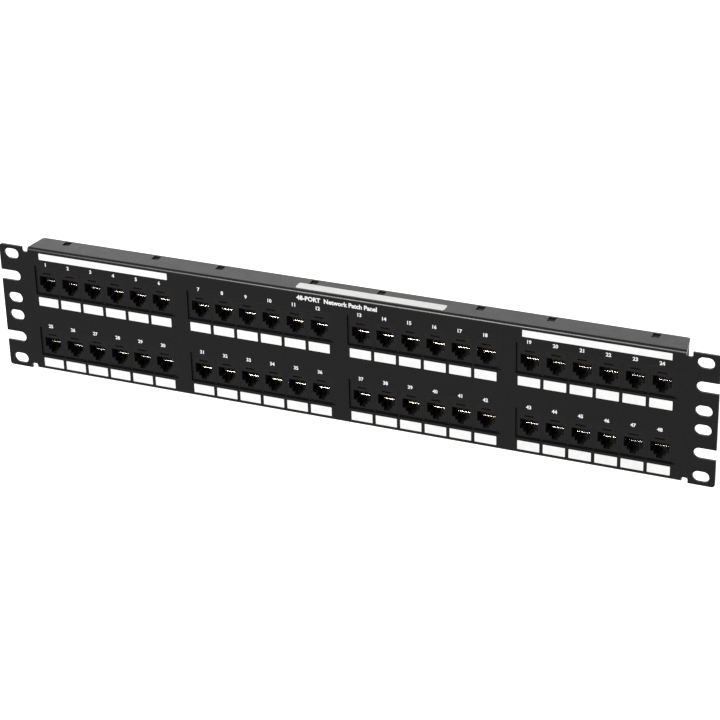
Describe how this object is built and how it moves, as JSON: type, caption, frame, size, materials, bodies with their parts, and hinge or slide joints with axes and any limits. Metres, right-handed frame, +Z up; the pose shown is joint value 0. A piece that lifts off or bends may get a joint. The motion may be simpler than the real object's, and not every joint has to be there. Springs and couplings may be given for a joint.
{
  "type": "patch panel",
  "caption": "Two-unit rack patch panel: a folded steel front with slotted ears, rows of modular jacks in moulded carriers, and punch-down blocks behind.",
  "frame": {"origin": "centre of the rack bolt pattern, in the plane of the rear face of the ears, where the panel meets the rack rails", "axes": "+X along the panel's length, +Y into the rack towards the rear, +Z up; the ports look towards -Y"},
  "size_m": [0.4826, 0.0295, 0.0883],
  "materials": {
    "powder_coat": "fine-texture black powder coat on folded steel",
    "carrier_plastic": "moulded black thermoplastic",
    "jack_plastic": "moulded black thermoplastic",
    "contact_gold": "gold-plated spring wire",
    "idc_plastic": "moulded black thermoplastic",
    "idc_metal": "tin-plated clip",
    "board_laminate": "green solder mask on glass laminate",
    "label_white": "matt white paper or film",
    "white_ink": "screen-printed white ink"
  },
  "bodies": {
    "root": {"front_panel": "powder_coat", "flange_label": "label_white", "carrier_1": "carrier_plastic", "carrier_2": "carrier_plastic", "carrier_3": "carrier_plastic", "carrier_4": "carrier_plastic", "jacks_01_06": "jack_plastic", "contacts_01_06": "contact_gold", "idc_blocks_01_06": "idc_plastic", "idc_clips_01_06": "idc_metal", "board_01_06": "board_laminate", "wiring_label_01_06": "label_white", "jacks_07_12": "jack_plastic", "contacts_07_12": "contact_gold", "idc_blocks_07_12": "idc_plastic", "idc_clips_07_12": "idc_metal", "board_07_12": "board_laminate", "wiring_label_07_12": "label_white", "jacks_13_18": "jack_plastic", "contacts_13_18": "contact_gold", "idc_blocks_13_18": "idc_plastic", "idc_clips_13_18": "idc_metal", "board_13_18": "board_laminate", "wiring_label_13_18": "label_white", "jacks_19_24": "jack_plastic", "contacts_19_24": "contact_gold", "idc_blocks_19_24": "idc_plastic", "idc_clips_19_24": "idc_metal", "board_19_24": "board_laminate", "wiring_label_19_24": "label_white", "jacks_25_30": "jack_plastic", "contacts_25_30": "contact_gold", "idc_blocks_25_30": "idc_plastic", "idc_clips_25_30": "idc_metal", "board_25_30": "board_laminate", "wiring_label_25_30": "label_white", "jacks_31_36": "jack_plastic", "contacts_31_36": "contact_gold", "idc_blocks_31_36": "idc_plastic", "idc_clips_31_36": "idc_metal", "board_31_36": "board_laminate", "wiring_label_31_36": "label_white", "jacks_37_42": "jack_plastic", "contacts_37_42": "contact_gold", "idc_blocks_37_42": "idc_plastic", "idc_clips_37_42": "idc_metal", "board_37_42": "board_laminate", "wiring_label_37_42": "label_white", "jacks_43_48": "jack_plastic", "contacts_43_48": "contact_gold", "idc_blocks_43_48": "idc_plastic", "idc_clips_43_48": "idc_metal", "board_43_48": "board_laminate", "wiring_label_43_48": "label_white"}
  },
  "joints": []
}
